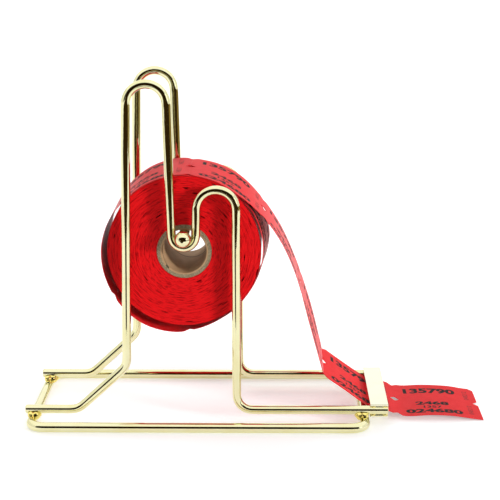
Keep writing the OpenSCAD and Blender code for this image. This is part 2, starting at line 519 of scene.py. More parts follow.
@dataclass(frozen=True)
class GreyBoard:
    """Spirally wound grey board, cut to length with a knife.

    It gives a speckled grey-brown rim with fibres of other papers in it, and a smoother,
    browner bore with the seam of the winding. The bore's brown is also much lighter than the
    rim's: painted light against the shade inside the tube.
    """

    name: str = "grey_board_tube"
    colour: str = "#8B7B5E"
    light_colour: str = "#B3A68B"
    light_span: Pair = (0.5, 0.68)
    dark_colour: str = "#544834"
    dark_span: Pair = (0.44, 0.3)
    # painted light: the bore's brown, set much lighter than the rim to offset the shade inside
    # the tube
    bore_brown_painted_light: str = "#C9A27C"
    bore_dark_brown_painted_light: str = "#A08059"
    roughness: float = 0.85
    speck_mm: float = 0.7
    speck_depth_mm: float = 0.15
    cloud_mm: float = 7.0
    seam_pitch_mm: float = 42.0
    seam_part: float = 0.03
    bore_r: float = 13.6

    def material(self) -> Material:
        """Builds the material.

        Returns:
            The grey board material.
        """
        material, tree = new_material(self.name)
        place = add_node(tree, "TexCoord").outputs["Object"]
        offset, _, radius = from_roll_axis(tree, place)
        parts = add_node(tree, "SeparateXYZ", {0: offset})
        turn = add_node(
            tree, "Math", {0: parts.outputs[2], 1: parts.outputs[0]}, operation="ARCTAN2"
        )
        turn_part = add_node(tree, "Math", {0: turn, 1: 2 * math.pi}, operation="DIVIDE")
        seam_place = add_node(
            tree, "Math",
            {0: parts.outputs[1], 1: per_metre(self.seam_pitch_mm), 2: turn_part},
            operation="MULTIPLY_ADD",
        )
        seam_part = add_node(tree, "Math", {0: seam_place}, operation="FRACT")
        seam = add_node(
            tree, "Math", {0: seam_part, 1: self.seam_part}, operation="LESS_THAN"
        )
        specks = add_node(
            tree, "TexNoise",
            {"Vector": place, "Scale": per_metre(self.speck_mm), "Detail": 3.0,
             "Roughness": 0.7},
        )
        clouds = add_node(
            tree, "TexNoise", {"Vector": place, "Scale": per_metre(self.cloud_mm), "Detail": 2.0}
        )
        in_bore = add_node(
            tree, "Math", {0: radius, 1: self.bore_r * MM}, operation="LESS_THAN"
        )
        seam_in_bore = add_node(tree, "Math", {0: seam, 1: in_bore}, operation="MULTIPLY")
        light, dark = [
            add_node(tree, "MapRange", {"Value": specks, "From Min": low, "From Max": high})
            for low, high in (self.light_span, self.dark_span)
        ]
        # the bore's brown, with painted light in it
        bore = add_node(
            tree, "Mix",
            {"Factor": clouds, "A": linear(self.bore_dark_brown_painted_light),
             "B": linear(self.bore_brown_painted_light)},
            data_type="RGBA",
        )
        colour = linear(self.colour)
        for part, layer in (
            (light, linear(self.light_colour)), (dark, linear(self.dark_colour)),
            (in_bore, bore), (seam_in_bore, linear(self.dark_colour)),
        ):
            colour = add_node(
                tree, "Mix", {"Factor": part, "A": colour, "B": layer}, data_type="RGBA"
            )
        bump = add_node(
            tree, "Bump",
            {"Height": specks, "Distance": self.speck_depth_mm * MM, "Strength": 0.7},
        )
        return finished(
            material, {"Base Color": colour, "Normal": bump, "Roughness": self.roughness}
        )


# --------------------------------------------------------------------------- bent wire


class Turn(Enum):
    """Which way a wire turns at a bend, seen with +X to the right and +Z up."""

    LEFT = 1
    RIGHT = -1


@dataclass(frozen=True)
class Bend:
    """One round bend of a wire, by the centre and radius of its centre line."""

    x: float
    z: float
    radius: float
    turn: Turn


def bent_line(
    start: Pair, bends: Sequence[Bend], end: Pair, step_degrees: float = 4.0
) -> np.ndarray:
    """Joins bends by their common tangents, from one cut end to the other.

    Args:
        start: The first cut end, in the wire's plane.
        bends: The bends in order.
        end: The last cut end.
        step_degrees: The most that the wire turns between two points.

    Returns:
        Points along the wire's centre line, N by 2.
    """
    stops = [(*start, 0.0)]
    stops += [(b.x, b.z, b.radius * b.turn.value) for b in bends]
    stops += [(*end, 0.0)]
    headings = []
    for (ax, az, ar), (bx, bz, br) in zip(stops, stops[1:]):
        apart = math.hypot(bx - ax, bz - az)
        headings.append(math.atan2(bz - az, bx - ax) + math.asin((ar - br) / apart))
    line = [start]
    for i, (x, z, r) in enumerate(stops[1:-1]):
        swing = (headings[i + 1] - headings[i]) % (2 * math.pi)
        if r < 0:
            swing -= 2 * math.pi
        steps = max(3, math.ceil(abs(swing) / math.radians(step_degrees)))
        for k in range(steps + 1):
            heading = headings[i] + swing * k / steps
            line.append((x + r * math.sin(heading), z - r * math.cos(heading)))
    return np.array([*line, end])


def eased(
    line: np.ndarray, closed: bool = False, passes: int = 6, straight_mm: float = 0.002
) -> np.ndarray:
    """Eases the ends of a wire's bends, because wire never bends all at once.

    Args:
        line: The centre line, with one point for each millimetre or less in the bends.
        closed: Whether the wire is a closed loop.
        passes: How many times each point is drawn towards its neighbours.
        straight_mm: How far a point may stand off its neighbours where the wire is straight.

    Returns:
        The eased line, with points only where it bends.
    """
    whole = np.vstack([line, line[:1]]) if closed else line
    marks = np.append(0.0, np.cumsum(np.linalg.norm(np.diff(whole, axis=0), axis=1)))
    spots = np.linspace(0.0, marks[-1], round(marks[-1]) + 1)
    fine = np.column_stack([np.interp(spots, marks, part) for part in whole.T])
    fine = fine[:-1] if closed else fine
    for _ in range(passes):
        drawn = (np.roll(fine, 1, 0) + 2 * fine + np.roll(fine, -1, 0)) / 4
        if not closed:
            drawn[0], drawn[-1] = fine[0], fine[-1]
        fine = drawn
    bend = np.linalg.norm(np.roll(fine, 1, 0) - 2 * fine + np.roll(fine, -1, 0), axis=1)
    keep = bend > straight_mm
    keep |= np.roll(keep, 1) | np.roll(keep, -1)
    if not closed:
        keep[0] = keep[-1] = True
    return fine[keep]


def sweep_wire(
    name: str,
    line: np.ndarray,
    side: tuple[float, float, float],
    diameter: float,
    material: Material,
    closed: bool = False,
    chamfer: float = 0.35,
    corners: int = 32,
) -> Object:
    """Draws a round wire along a flat line.

    Args:
        name: The object's name.
        line: The centre line, N by 3.
        side: The direction square to the plane that the wire lies in.
        diameter: The wire's diameter.
        material: Its finish.
        closed: Whether the wire is a closed loop.
        chamfer: How far the cut ends are broken.
        corners: How many points go round the wire.

    Returns:
        The wire.
    """
    if closed:
        ways = np.roll(line, -1, 0) - np.roll(line, 1, 0)
    else:
        ways = np.gradient(line, axis=0)
        ways[0], ways[-1] = line[1] - line[0], line[-1] - line[-2]
    ways /= np.linalg.norm(ways, axis=1)[:, None]
    radii = np.full(len(line), diameter / 2)
    if not closed:
        line = np.vstack([line[0], line[0] + ways[0] * chamfer, line[1:-1],
                          line[-1] - ways[-1] * chamfer, line[-1]])
        ways = np.vstack([ways[0], ways, ways[-1]])
        radii = np.concatenate([[diameter / 2 - chamfer], radii, [diameter / 2 - chamfer]])
    turns = np.linspace(0, 2 * math.pi, corners, endpoint=False)[:, None]
    rings = [
        point + radius * (np.cos(turns) * np.cross(side, way) + np.sin(turns) * np.array(side))
        for point, way, radius in zip(line, ways, radii)
    ]
    count = len(rings)
    faces = []
    for i in range(count if closed else count - 1):
        faces += band(i * corners, (i + 1) % count * corners, corners)
    if not closed:
        faces.append(tuple(range(corners - 1, -1, -1)))
        faces.append(tuple(range((count - 1) * corners, count * corners)))
    made = mesh_object(name, np.vstack(rings), faces, [material])
    if not closed:
        sharpen(made, degrees=30)
    return made


@dataclass
class WireStand:
    """The welded stand: a closed base loop with two bent side frames on it.

    A weld spot is its place from the crossing, along the stand towards its middle, across it
    and up, and its radius. A weld bump is how much of the radius it takes, and its fineness.
    """

    plate: Material
    weld: Material
    frame_y: float = 31.0
    wire_d: float = 5.2
    base_d: float = 5.8
    foot_z: float = 8.45
    foot_r: float = 8.5
    rear_end: float = -100.8
    front_end: float = 110.3
    hump: Pair = (-26.95, 187.23)
    hump_r: float = 11.2
    saddle: Pair = (-7.2, 112.5)
    saddle_r: float = 6.9
    front_hump: Pair = (11.2, 127.9)
    front_hump_r: float = 11.2
    lower_corner: Pair = (-73.4, 16.95)
    upper_corner: Pair = (-49.5, 39.1)
    loop_x: float = 96.8
    loop_y: float = 45.5
    loop_z: float = 2.9
    loop_r: float = 8.0
    weld_z: float = 5.7
    weld_spots: tuple = ((2.6, -1.8, -0.4, 2.5), (2.9, 1.6, -0.6, 2.3), (-0.8, -2.7, 0.1, 2.2),
                         (-0.9, 2.6, 0.0, 2.1), (0.4, 0.0, -0.2, 2.9))
    weld_shift: float = 0.35
    weld_bumps: tuple = ((0.16, 1.6), (0.05, 5.0))
    weld_cell: float = 0.28
    front_weld_back: float = 0.6

    def frame_line(self) -> np.ndarray:
        """Gives the centre line of one side frame in X and Z.

        Returns:
            Points along the wire.
        """
        left, right = Turn.LEFT, Turn.RIGHT
        front_arm = self.front_hump[0] + self.front_hump_r
        bends = [
            Bend(*self.lower_corner, self.foot_r, left),
            Bend(*self.upper_corner, self.foot_r, left),
            Bend(*self.hump, self.hump_r, right),
            Bend(*self.saddle, self.saddle_r, left),
            Bend(*self.front_hump, self.front_hump_r, right),
            Bend(front_arm + self.foot_r, self.foot_z + self.foot_r, self.foot_r, left),
        ]
        return bent_line((self.rear_end, self.foot_z), bends, (self.front_end, self.foot_z))

    def side_frame(self, hand: str, side: int) -> None:
        """Bends one side frame.

        Args:
            hand: The word that names the side.
            side: -1 for the side frame at -Y, 1 for the one at +Y.
        """
        flat = eased(self.frame_line())
        line = np.column_stack([flat[:, 0], np.full(len(flat), side * self.frame_y), flat[:, 1]])
        made = sweep_wire(f"side_frame_{hand}_wire", line, (0, 1, 0), self.wire_d, self.plate)
        hand_over(made, "stand", "wire", f"side_frame_{hand}")

    def base_loop(self) -> None:
        """Bends the closed base loop."""
        r, line = self.loop_r, []
        for quarter, (sx, sy) in enumerate(((1, 1), (-1, 1), (-1, -1), (1, -1))):
            x, y = sx * (self.loop_x - r), sy * (self.loop_y - r)
            for degrees in range(90 * quarter, 90 * quarter + 91, 5):
                a = math.radians(degrees)
                line.append((x + r * math.cos(a), y + r * math.sin(a), self.loop_z))
        made = sweep_wire(
            "base_loop_wire", eased(np.array(line), closed=True), (0, 0, 1), self.base_d,
            self.plate, closed=True,
        )
        hand_over(made, "stand", "wire", "base_loop")

    def weld_lumps(self, end: str, x: float, seed: int) -> None:
        """Runs weld metal into the crossings of one cross rail with both side frames.

        Args:
            end: The word that names the end of the stand.
            x: The cross rail's place.
            seed: Start of the lumps' own shapes.
        """
        draw = random.Random(seed)
        work = bmesh.new()
        inward = -1 if x > 0 else 1
        for side in (-1, 1):
            middle = Vector((x, side * self.frame_y, self.weld_z))
            for along, across, up, radius in self.weld_spots:
                ball = bmesh.ops.create_icosphere(work, subdivisions=4, radius=1.0)
                shift = [draw.uniform(-self.weld_shift, self.weld_shift) for _ in range(3)]
                centre = middle + Vector((inward * along, across, up)) + Vector(shift)
                key = Vector([draw.uniform(0, 50) for _ in range(3)])
                for v in ball["verts"]:
                    swell = 1.0
                    for part, fineness in self.weld_bumps:
                        swell += part * noise.noise(v.co * fineness + key)
                    v.co = (centre + v.co * radius * swell) * MM
        made = worked_object(f"{end}_weld_lumps", work, self.weld)
        merge = made.modifiers.new("merge", "REMESH")
        merge.mode = "VOXEL"
        merge.voxel_size = self.weld_cell * MM
        merge.use_smooth_shade = True
        made.modifiers.new("soften", "SMOOTH").iterations = 6
        apply_modifiers(made)
        hand_over(made, "stand", "weld", f"{end}_welds")

    def build(self) -> None:
        """Makes the loop, both side frames and the welds at their crossings."""
        self.base_loop()
        self.side_frame("right", -1)
        self.side_frame("left", 1)
        self.weld_lumps("rear", -self.loop_x, seed=3)
        self.weld_lumps("front", self.loop_x - self.front_weld_back, seed=11)


# --------------------------------------------------------------------------- exit slot


@dataclass
class ExitSlot:
    """The two plated guide plates that the ticket leaves between."""

    sheet: Material
    weld: Material
    edge_r: float = 0.45

    def guide_plate(self, height: str) -> None:
        """Cuts one guide plate, with its edges rolled over in the polishing.

        Args:
            height: "top" or "bottom".
        """
        node = f"guide_plate_{height}"
        low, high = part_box(node)
        work = bmesh.new()
        bmesh.ops.create_cube(work, size=1.0)
        for v in work.verts:
            v.co = Vector([
                low[i] + (v.co[i] + 0.5) * (high[i] - low[i]) for i in range(3)
            ])
        bmesh.ops.bevel(
            work, geom=list(work.edges), offset=self.edge_r * MM, segments=4,
            profile=0.5, affect="EDGES",
        )
        made = worked_object(f"{node}_sheet", work, self.sheet)
        made.modifiers.new("flat", "WEIGHTED_NORMAL").keep_sharp = True
        apply_modifiers(made)
        hand_over(made, "stand", "plate", node)

    def build(self) -> None:
        """Makes both plates and plates the CAD model's small weld beads."""
        for height in ("top", "bottom"):
            self.guide_plate(height)
            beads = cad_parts[f"{height}_plate_welds"]
            beads.data.materials.clear()
            beads.data.materials.append(self.weld)


# --------------------------------------------------------------------------- turned pieces


def lathe(
    name: str,
    profile: Sequence[Pair],
    centre: Pair,
    material: Material,
    corners: int = 96,
) -> Object:
    """Turns a closed or pole-to-pole profile about an axis along Y.

    Args:
        name: The object's name.
        profile: Radius and Y of each point. A radius of zero is a pole.
        centre: X and Z of the axis.
        material: The finish.
        corners: How many points go round.

    Returns:
        The turned piece.
    """
    points, rows = [], []
    for radius, y in profile:
        if radius == 0:
            rows.append([len(points)] * corners)
            points.append((centre[0], y, centre[1]))
            continue
        rows.append(list(range(len(points), len(points) + corners)))
        for k in range(corners):
            a = 2 * math.pi * k / corners
            points.append((centre[0] + radius * math.cos(a), y, centre[1] + radius * math.sin(a)))
    faces = []
    for a, b in zip(rows, rows[1:] if profile[0][0] == 0 else rows[1:] + rows[:1]):
        for k in range(corners):
            n = (k + 1) % corners
            faces.append(list(dict.fromkeys([a[k], a[n], b[n], b[k]])))
    made = mesh_object(name, np.array(points), faces, [material])
    sharpen(made, degrees=35, outward=True)
    return made


@dataclass
class Axle:
    """The lift-out axle: a rod with a ball on each end, in the side frames' saddles."""

    plate: Material
    centre: Pair = (-7.3, 111.6)
    rod_d: float = 6.3
    rod_in_ball: float = 0.9
    ball_d: float = 9.6
    ball_y: float = 35.9
    ball_flat_degrees: float = 7.0
    edge: float = 0.3

    def rod(self) -> None:
        """Turns the rod between the two balls."""
        r, half = self.rod_d / 2, self.ball_y - self.ball_d / 2 + self.rod_in_ball
        profile = [(0, -half), (r - self.edge, -half), (r, -half + self.edge),
                   (r, half - self.edge), (r - self.edge, half), (0, half)]
        made = lathe("axle_rod_turned", profile, self.centre, self.plate)
        hand_over(made, "axle", "axle", "axle_rod")

    def ball(self, hand: str, side: int, steps: int = 40) -> None:
        """Turns one ball, with the small flat that parting it off leaves.

        Args:
            hand: The word that names the side.
            side: -1 or 1, the ball's side of the stand.
            steps: How many steps the profile has from the flat to the pole.
        """
        r, flat = self.ball_d / 2, math.radians(self.ball_flat_degrees)
        profile = [(0.0, -r * math.cos(flat))]
        for k in range(steps):
            a = flat + (math.pi - flat) * k / steps
            profile.append((r * math.sin(a), -r * math.cos(a)))
        profile.append((0.0, r))
        profile = [(radius, side * (self.ball_y - y)) for radius, y in profile]
        made = lathe(f"axle_ball_{hand}_turned", profile, self.centre, self.plate)
        hand_over(made, "axle", "axle", f"axle_ball_{hand}")

    def build(self) -> None:
        """Makes the rod and both balls."""
        self.rod()
        self.ball("right", -1)
        self.ball("left", 1)


# --------------------------------------------------------------------------- ticket web


def smooth_line(
    knots: Sequence[Pair], before: Pair | None = None, steps: int = 16
) -> np.ndarray:
    """Draws a smooth line through knots, as a centripetal Catmull-Rom spline.

    Args:
        knots: The points that it goes through.
        before: The knot ahead of the first, on the line that this one carries on.
        steps: How many short steps lie between two knots.

    Returns:
        The line's points, N by 2.
    """
    p = np.array(knots, float)
    first = 2 * p[0] - p[1] if before is None else np.array(before, float)
    p = np.vstack([first, p, 2 * p[-1] - p[-2]])
    line = []
    for i in range(1, len(p) - 2):
        t0 = 0.0
        t1 = t0 + np.linalg.norm(p[i] - p[i - 1]) ** 0.5
        t2 = t1 + np.linalg.norm(p[i + 1] - p[i]) ** 0.5
        t3 = t2 + np.linalg.norm(p[i + 2] - p[i + 1]) ** 0.5
        for t in np.linspace(t1, t2, steps, endpoint=False):
            a1 = (t1 - t) / (t1 - t0) * p[i - 1] + (t - t0) / (t1 - t0) * p[i]
            a2 = (t2 - t) / (t2 - t1) * p[i] + (t - t1) / (t2 - t1) * p[i + 1]
            a3 = (t3 - t) / (t3 - t2) * p[i + 1] + (t - t2) / (t3 - t2) * p[i + 2]
            b1 = (t2 - t) / (t2 - t0) * a1 + (t - t0) / (t2 - t0) * a2
            b2 = (t3 - t) / (t3 - t1) * a2 + (t - t1) / (t3 - t1) * a3
            line.append((t2 - t) / (t2 - t1) * b1 + (t - t1) / (t2 - t1) * b2)
    line.append(p[-2])
    return np.array(line)


def measured(line: np.ndarray, start: float, end: float) -> Callable:
    """Measures a line off so that a place on it can be asked for by its length.

    Args:
        line: The line's points in X and Z.
        start: The length at its first point.
        end: The length at its last point.

    Returns:
        A function from lengths to points, straight on beyond both ends.
    """
    steps = np.linalg.norm(np.diff(line, axis=0), axis=1)
    marks = np.concatenate([[0.0], np.cumsum(steps)])
    marks = start + marks / marks[-1] * (end - start)
    first = (line[1] - line[0]) / (marks[1] - marks[0])
    last = (line[-1] - line[-2]) / (marks[-1] - marks[-2])

    def at(length: np.ndarray) -> np.ndarray:
        """Gives the points at these lengths."""
        spot = np.column_stack([np.interp(length, marks, part) for part in line.T])
        return (spot + np.minimum(length - start, 0)[:, None] * first
                + np.maximum(length - end, 0)[:, None] * last)

    return at


def ring_edges(rings: Sequence[Sequence[Pair]]) -> np.ndarray:
    """Gives the edges of closed outlines.

    Args:
        rings: The outlines.

    Returns:
        An array of N by 2 by 2 points.
    """
    return np.array([
        (ring[i], ring[(i + 1) % len(ring)]) for ring in rings for i in range(len(ring))
    ], float).reshape(-1, 2, 2)


def inside(spots: np.ndarray, edges: np.ndarray, batch: int = 2000) -> np.ndarray:
    """Tells which places lie inside outlines, by counting crossings.

    Args:
        spots: N by 2 places.
        edges: M by 2 by 2, the outlines' edges in any order.
        batch: How many places are tested at a time.

    Returns:
        One truth value for each place.
    """
    found = np.zeros(len(spots), int)
    (x1, y1), (x2, y2) = edges[:, 0].T, edges[:, 1].T
    for first in range(0, len(spots), batch):
        x, y = spots[first : first + batch].T[:, :, None]
        level = (y1 > y) != (y2 > y)
        with np.errstate(divide="ignore", invalid="ignore"):
            cross = x1 + (y - y1) * (x2 - x1) / (y2 - y1)
        found[first : first + batch] = (level & (x < cross)).sum(1)
    return found % 2 == 1


@dataclass
class TicketWeb:
    """The continuous web of double tickets, punched and perforated between tickets.

    A flat place on the web is (s, y): s runs from the fold ahead of the slot towards the free
    end, so a ticket starts at every whole pitch, and y is the place across the web. A line of
    print is its figures, its middle from the ticket's start, its height and length, and how
    far its strokes are thickened. Notches, slits and cells of the mesh are sizes along and
    across the web. Places closer than same_mm count as one. The mesh keeps its columns
    cut_margin away from the perforations, joins points within join_mm of each other and drops
    slivers of less than sliver_mm2.
    """

    paper: Material
    ink: Material
    number_ink: Material
    pitch: float = 50.8
    width: float = 50.8
    thickness: float = 0.24
    run_tickets: int = 3
    lead_tickets: int = 2
    hole_along: float = 3.0
    hole_across: float = 3.2
    hole_ease: float = 0.16
    tip_ease: float = 0.056
    notch: Pair = (0.3, 2.88)
    tear_flat: float = 0.2
    slit: Pair = (0.08, 1.5)
    slit_gap: float = 1.1
    cell: Pair = (1.6, 2.2)
    slit_cell: float = 0.8
    slit_cell_margin: float = 4.0
    same_mm: float = 0.1
    cut_margin: float = 0.5
    join_mm: float = 1e-4
    sliver_mm2: float = 5e-7
    first_number: int = 48213
    print_lines: tuple = (
        ("135790", (22.5, 14.8), 8.4, 32.0, 0.045), ("2468", (22.4, -5.9), 5.6, 20.0, 0.045),
        ("1357", (22.2, -12.0), 3.6, 11.0, 0.03), ("024680", (22.6, -18.2), 6.2, 34.0, 0.045),
    )
    number_places: tuple = ((44.8, 12.0), (44.8, -12.0))
    number_size: tuple = (3.0, 14.0, 0.01)

    def number_outlines(
        self, text: str, middle: Pair, height: float, length: float, bold: float,
        across: bool = False,
    ) -> list[tuple[Pair, Pair]]:
        """Sets a plain number and returns the edges of its figures.

        Args:
            text: The figures.
            middle: The middle of the line on the web.
            height: Height of a figure.
            length: Length of the whole line.
            bold: How far each stroke is thickened.
            across: Whether the line runs across the web.

        Returns:
            Pairs of points, one for each edge.
        """
        curve = bpy.data.curves.new("figures", "FONT")
        curve.body = text
        curve.align_x, curve.align_y = "CENTER", "CENTER"
        curve.resolution_u = 3
        curve.offset = bold
        holder = bpy.data.objects.new("figures", curve)
        bpy.context.scene.collection.objects.link(holder)
        bpy.context.view_layer.update()
        mesh = bpy.data.meshes.new_from_object(
            holder.evaluated_get(bpy.context.evaluated_depsgraph_get())
        )
        bpy.data.objects.remove(holder)
        bpy.data.curves.remove(curve)
        spots = np.array([v.co[:2] for v in mesh.vertices])
        low, high = spots.min(0), spots.max(0)
        spots = (spots - (low + high) / 2) / (high - low) * np.array([length, height])
        if across:
            spots = np.column_stack([-spots[:, 1], spots[:, 0]])
        spots = spots + np.array(middle)
        used: dict[tuple[int, int], int] = {}
        for face in mesh.polygons:
            for key in face.edge_keys:
                used[key] = used.get(key, 0) + 1
        bpy.data.meshes.remove(mesh)
        return [
            (tuple(spots[a]), tuple(spots[b])) for (a, b), count in used.items() if count == 1
        ]

    def ticket_print(self, start: float, serial: int) -> tuple[list, list]:
        """Sets the plain numbers of one double ticket.

        Args:
            start: Where the ticket starts on the web.
            serial: The ticket's running number.

        Returns:
            The edges of the figures in black, and of the running numbers.
        """
        black, running = [], []
        for text, (s, y), *size in self.print_lines:
            black += self.number_outlines(text, (start + s, y), *size)
        for s, y in self.number_places:
            running += self.number_outlines(
                f"{serial:06d}", (start + s, y), *self.number_size, across=True
            )
        return black, running

    def perforation(self, s: float) -> list[list[Pair]]:
        """Punches the diamond hole and the slits between two tickets.

        Args:
            s: The perforation's place along the web.

        Returns:
            The outlines of the hole, with eased corners, and of the slits.
        """
        tips = [(self.hole_along, 0), (0, self.hole_across),
                (-self.hole_along, 0), (0, -self.hole_across)]
        diamond = []
        for i, tip in enumerate(tips):
            for toward, part in ((tips[i - 1], self.hole_ease), ((0, 0), self.tip_ease),
                                 (tips[(i + 1) % 4], self.hole_ease)):
                diamond.append((s + tip[0] + (toward[0] - tip[0]) * part,
                                tip[1] + (toward[1] - tip[1]) * part))
        rings = [diamond]
        w, length = self.slit[0] / 2, self.slit[1]
        y = self.hole_across + self.slit_gap
        while y + length < self.width / 2 - self.hole_across:
            for side in (-1, 1):
                a, b = side * y, side * (y + length)
                rings.append([(s - w, a), (s + w, a), (s + w, b), (s - w, b)])
            y += length + self.slit_gap
        return rings

    def cut_end(self, s: float, way: int) -> list[Pair]:
        """Gives an end that is parted cleanly along a perforation.

        Args:
            s: The end's place along the web.
            way: 1 where the paper lies beyond the end, and -1 where it lies before it.

        Returns:
            The end's points from -Y to +Y.
        """
        half, hole, (notch, depth) = self.width / 2, self.hole_across, self.notch
        inner, corner = s + way * self.hole_along, s + way * notch
        return [(inner, -half), (corner, depth - half), (s, depth - half), (s, -hole),
                (inner, 0.0), (s, hole), (s, half - depth), (corner, half - depth),
                (inner, half)]

    def torn_end(self, s: float) -> list[Pair]:
        """Gives the free end, torn off at a perforation.

        Args:
            s: The end's place along the web.

        Returns:
            The end's points from -Y to +Y.
        """
        half, hole, inner = self.width / 2, self.hole_across, s - self.hole_along
        return [(s, -half), (s, -hole), (inner, -self.tear_flat), (inner, self.tear_flat),
                (s, hole), (s, half - hole), (inner, half)]

    def outline(self, start: float, end: float, torn_tip: bool) -> list[Pair]:
        """Gives the outline of a length of web, notched at each perforation.

        Args:
            start: Where the piece starts.
            end: Where it ends.
            torn_tip: Whether the end is the free end.

        Returns:
            The outline's points.
        """
        half, (notch, depth) = self.width / 2, self.notch
        cuts, inner = self.cuts(start, end)
        edge = []
        for s in inner:
            edge += [(s - self.hole_along, half), (s - notch, half - depth),
                     (s + notch, half - depth), (s + self.hole_along, half)]
        head, tail = [[(s, -half), (s, half)] for s in (start, end)]
        if cuts[0] not in inner:
            head = self.cut_end(start, 1)
        if torn_tip:
            tail = self.torn_end(end)
        elif cuts[-1] not in inner:
            tail = self.cut_end(end, -1)
        return head[::-1] + [(s, -y) for s, y in edge] + tail + edge[::-1]

    def cuts(self, start: float, end: float) -> tuple[list[float], list[float]]:
        """Finds the perforations of a length of web.

        Args:
            start: Where the piece starts.
            end: Where it ends.

        Returns:
            Their places, those at its own ends among them, and the places between its ends.
        """
        near = self.same_mm
        first = math.ceil((start - near) / self.pitch)
        last = math.floor((end + near) / self.pitch)
        cuts = [k * self.pitch for k in range(first, last + 1)]
        return cuts, [s for s in cuts if start + near < s < end - near]

    def whole_prints(self, start: float, end: float) -> tuple[np.ndarray, np.ndarray]:
        """Sets the print of every whole ticket of a length of web.

        Args:
            start: Where the piece starts.
            end: Where it ends.

        Returns:
            The edges of the figures in black, and of the running numbers, each N by 2 by 2.
        """
        prints: tuple[list, list] = ([], [])
        for s in self.cuts(start, end)[0]:
            if s + self.pitch < end + self.same_mm:
                serial = self.first_number - round(s / self.pitch)
                for edges, more in zip(prints, self.ticket_print(s, serial)):
                    edges += more
        black, running = [np.array(edges).reshape(-1, 2, 2) for edges in prints]
        return black, running

    def flat_pattern(
        self, start: float, end: float, torn_tip: bool
    ) -> tuple[np.ndarray, np.ndarray, np.ndarray]:
        """Cuts the web flat between two places.

        Args:
            start: Where the piece starts.
            end: Where it ends.
            torn_tip: Whether the end is the free end, torn off at a perforation.

        Returns:
            The points, the triangles, and each triangle's ink: 0 for none, 1 for the black
            and 2 for the running numbers' ink.
        """
        half = self.width / 2
        cuts, inner = self.cuts(start, end)
        outline = self.outline(start, end, torn_tip)
        holes = [ring for s in inner for ring in self.perforation(s)]
        black, running = self.whole_prints(start, end)
        points: list[Pair] = []
        fixed: list[tuple[int, int]] = []
        for ring in [outline, *holes]:
            base = len(points)
            points += ring
            fixed += [(base + i, base + (i + 1) % len(ring)) for i in range(len(ring))]
        for edge in [*black, *running]:
            fixed.append((len(points), len(points) + 1))
            points += list(edge)
        reach = half - self.slit_cell_margin
        for s in inner:
            points += [(s, y) for y in np.arange(-reach, reach + self.same_mm, self.slit_cell)
                       if abs(y) > self.hole_across + self.slit_cell / 2]
        columns = np.linspace(start, end, max(2, round((end - start) / self.cell[0])) + 1)
        rows = np.linspace(-half, half, round(self.width / self.cell[1]) + 1)
        for s in columns:
            if s in (start, end) or min(abs(s - c) for c in cuts) >= self.cut_margin:
                points += [(s, y) for y in rows]
        spots, _, triangles, *_ = geometry.delaunay_2d_cdt(
            [Vector(p) for p in points], fixed, [], 0, self.join_mm
        )
        spots = np.array([tuple(p) for p in spots])
        triangles = np.array([t for t in triangles if len(t) == 3])
        middles = spots[triangles].mean(1)
        keep = inside(middles, ring_edges([outline])) & ~inside(middles, ring_edges(holes))
        a, b, c = (spots[triangles[:, i]] for i in range(3))
        keep &= np.abs(np.cross(b - a, c - a)) / 2 > self.sliver_mm2
        triangles, middles = triangles[keep], middles[keep]
        printed = inside(middles, black).astype(np.int32)
        printed[inside(middles, running)] = 2
        return spots, triangles, printed

    def lay(
        self, name: str, start: float, end: float, place: Callable, torn_tip: bool = False
    ) -> Object:
        """Cuts a length of web and lays it along its path, at the paper's thickness.

        Args:
            name: The object's name.
            start: Where the piece starts on the web.
            end: Where it ends.
            place: Turns arrays of s and y into places on the paper's middle surface.
            torn_tip: Whether the end is the free end.

        Returns:
            The laid paper, printed on its upper side.
        """
        flat, triangles, printed = self.flat_pattern(start, end, torn_tip)
        used, triangles = np.unique(triangles, return_inverse=True)
        flat, triangles = flat[used], triangles.reshape(-1, 3)
        a, b, c = (flat[triangles[:, i]] for i in range(3))
        flip = np.cross(b - a, c - a) < 0
        triangles[flip] = triangles[flip][:, ::-1]
        s, y = flat.T
        step = 0.25  # the slope is measured this far each way
        middle = place(s, y)
        along = place(s + step, y) - place(s - step, y)
        across = place(s, y + step) - place(s, y - step)
        up = np.cross(along, across)
        up /= np.linalg.norm(up, axis=1)[:, None]
        half = up * self.thickness / 2
        count = len(flat)
        sides = triangles[:, [0, 1, 1, 2, 2, 0]].reshape(-1, 2)
        pairs, counts = np.unique(np.sort(sides, axis=1), axis=0, return_counts=True)
        rim = {tuple(p) for p in pairs[counts == 1]}
        walls = [(b, a, a + count, b + count) for a, b in sides.tolist()
                 if (min(a, b), max(a, b)) in rim]
        faces = triangles.tolist() + (triangles[:, ::-1] + count).tolist() + walls
        made = mesh_object(
            name, np.vstack([middle + half, middle - half]), faces,
            [self.paper, self.ink, self.number_ink],
        )
        index = np.zeros(len(faces), np.int32)
        index[: len(triangles)] = printed
        made.data.polygons.foreach_set("material_index", index)
        sharpen(made, degrees=57.3)
        return made

    def between(self, near: np.ndarray, far: np.ndarray, y: np.ndarray) -> np.ndarray:
        """Places points of the web in proportion between its two edges.

        Args:
            near: X and Z of the near edge for each point.
            far: The same of the far edge.
            y: Places across the web.

        Returns:
            N by 3 places.
        """
        part = (y / self.width + 0.5)[:, None]
        spot = near * (1 - part) + far * part
        return np.column_stack([spot[:, 0], y, spot[:, 1]])


